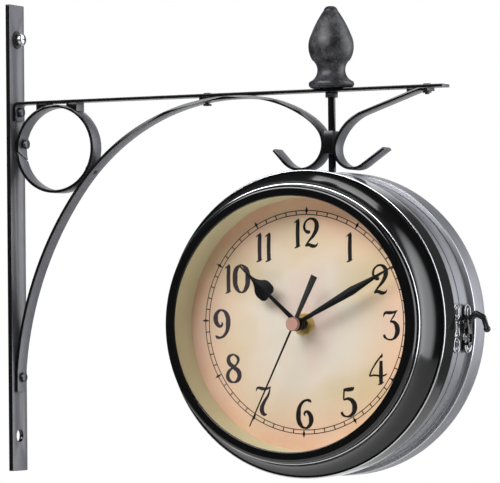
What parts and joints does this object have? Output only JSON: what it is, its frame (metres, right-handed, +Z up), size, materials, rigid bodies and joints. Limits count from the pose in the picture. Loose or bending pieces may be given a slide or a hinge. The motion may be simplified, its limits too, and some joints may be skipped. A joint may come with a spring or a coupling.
{
  "type": "double sided station clock",
  "caption": "Wall bracket of scrolled steel strip with a hanging round clock that has a dial on both sides, a swivel rod, a hinged front half and a side latch.",
  "frame": {"origin": "on the wall face of the wall plate, midway between its two fixing holes", "axes": "+X out from the wall along the arm, -Y towards the front dial, +Z up"},
  "size_m": [0.3565, 0.112, 0.322],
  "materials": {
    "bracket_paint": "semi-gloss black stove enamel",
    "dark_steel": "blackened steel",
    "finial_paint": "matte black paint over a rough casting",
    "plain_steel": "plain rolled steel",
    "case_enamel": "gloss black enamel",
    "glass": "clear flat glass",
    "rubber_seal": "black rubber",
    "cream_card": "matte cream",
    "printed_dial": "printed parchment colour",
    "brass": "turned brass",
    "hand_paint": "black lacquer",
    "black_plastic": "moulded black",
    "battery_sleeve": "printed sleeve",
    "copper_winding": "enamelled copper wire",
    "board_resin": "green circuit board",
    "latch_metal": "black lacquer with bright edges"
  },
  "bodies": {
    "bracket": {"wall_plate": "bracket_paint", "top_arm": "bracket_paint", "curved_brace": "bracket_paint", "right_scroll": "bracket_paint", "bracket_ring": "bracket_paint", "arm_wedges": "bracket_paint", "bracket_screws": "dark_steel", "bracket_nuts": "dark_steel", "rod_guide": "bracket_paint", "guide_pins": "bracket_paint"},
    "clock": {"hanger_rod": "bracket_paint", "finial": "finial_paint", "finial_washer": "dark_steel", "rod_nuts": "dark_steel", "saddle_plate": "plain_steel", "seam_lip": "plain_steel", "rear_shell": "case_enamel", "hinge_rear_leaf": "latch_metal", "hinge_pin": "latch_metal", "latch_rear_plate": "latch_metal", "latch_pivot": "latch_metal", "rear_case_screws": "dark_steel", "rear_bezel": "case_enamel", "rear_glass": "glass", "rear_glass_seal": "rubber_seal", "rear_inner_wall": "cream_card", "rear_dial": "printed_dial", "rear_dial_carrier": "plain_steel", "rear_movement_case": "black_plastic", "rear_movement_cover": "black_plastic", "rear_battery": "battery_sleeve", "rear_motor_coil": "copper_winding", "rear_circuit_board": "board_resin", "rear_dial_nut": "brass"},
    "front_half": {"front_shell": "case_enamel", "hinge_front_leaf": "latch_metal", "latch_front_plate": "latch_metal", "front_case_screws": "dark_steel", "front_bezel": "case_enamel", "front_glass": "glass", "front_glass_seal": "rubber_seal", "front_inner_wall": "cream_card", "front_dial": "printed_dial", "front_dial_carrier": "plain_steel", "front_movement_case": "black_plastic", "front_movement_cover": "black_plastic", "front_battery": "battery_sleeve", "front_motor_coil": "copper_winding", "front_circuit_board": "board_resin", "front_dial_nut": "brass"},
    "latch_hook": {"latch_hook": "latch_metal"},
    "front_hour_hand": {"front_hour_hand": "hand_paint"},
    "front_minute_hand": {"front_minute_hand": "hand_paint"},
    "front_second_hand": {"front_second_hand": "hand_paint"},
    "front_setting_knob": {"front_setting_knob": "black_plastic"},
    "rear_hour_hand": {"rear_hour_hand": "hand_paint"},
    "rear_minute_hand": {"rear_minute_hand": "hand_paint"},
    "rear_second_hand": {"rear_second_hand": "hand_paint"},
    "rear_setting_knob": {"rear_setting_knob": "black_plastic"}
  },
  "joints": [
    {"name": "rod_swivel", "type": "hinge", "parent": "bracket", "child": "clock", "pos_m": [0.242, 0, 0.06], "axis": [0, 0, 1], "continuous": true},
    {"name": "case_hinge", "type": "hinge", "parent": "clock", "child": "front_half", "pos_m": [0.1431, -0.014, -0.066], "axis": [0, 0, -1], "range_deg": [0, 100]},
    {"name": "latch_swing", "type": "hinge", "parent": "clock", "child": "latch_hook", "pos_m": [0.341, -0.0075, -0.062], "axis": [-1, 0, 0], "range_deg": [0, 80]},
    {"name": "front_second_turn", "type": "hinge", "parent": "front_half", "child": "front_second_hand", "pos_m": [0.242, -0.014, -0.062], "axis": [0, 1, 0], "continuous": true},
    {"name": "front_minute_turn", "type": "hinge", "parent": "front_half", "child": "front_minute_hand", "pos_m": [0.242, -0.014, -0.062], "axis": [0, 1, 0], "continuous": true},
    {"name": "front_hour_turn", "type": "hinge", "parent": "front_half", "child": "front_hour_hand", "pos_m": [0.242, -0.014, -0.062], "axis": [0, 1, 0], "continuous": true},
    {"name": "front_knob_turn", "type": "hinge", "parent": "front_half", "child": "front_setting_knob", "pos_m": [0.258, -0.014, -0.062], "axis": [0, 1, 0], "continuous": true},
    {"name": "rear_second_turn", "type": "hinge", "parent": "clock", "child": "rear_second_hand", "pos_m": [0.242, -0.014, -0.062], "axis": [0, -1, 0], "continuous": true},
    {"name": "rear_minute_turn", "type": "hinge", "parent": "clock", "child": "rear_minute_hand", "pos_m": [0.242, -0.014, -0.062], "axis": [0, -1, 0], "continuous": true},
    {"name": "rear_hour_turn", "type": "hinge", "parent": "clock", "child": "rear_hour_hand", "pos_m": [0.242, -0.014, -0.062], "axis": [0, -1, 0], "continuous": true},
    {"name": "rear_knob_turn", "type": "hinge", "parent": "clock", "child": "rear_setting_knob", "pos_m": [0.226, -0.014, -0.062], "axis": [0, -1, 0], "continuous": true}
  ],
  "couplings": [
    {"joint": "front_minute_turn", "follows": "front_second_turn", "ratio": 0.016667},
    {"joint": "front_hour_turn", "follows": "front_second_turn", "ratio": 0.0013889},
    {"joint": "front_knob_turn", "follows": "front_second_turn", "ratio": -0.016667},
    {"joint": "rear_minute_turn", "follows": "rear_second_turn", "ratio": 0.016667},
    {"joint": "rear_hour_turn", "follows": "rear_second_turn", "ratio": 0.0013889},
    {"joint": "rear_knob_turn", "follows": "rear_second_turn", "ratio": -0.016667}
  ]
}
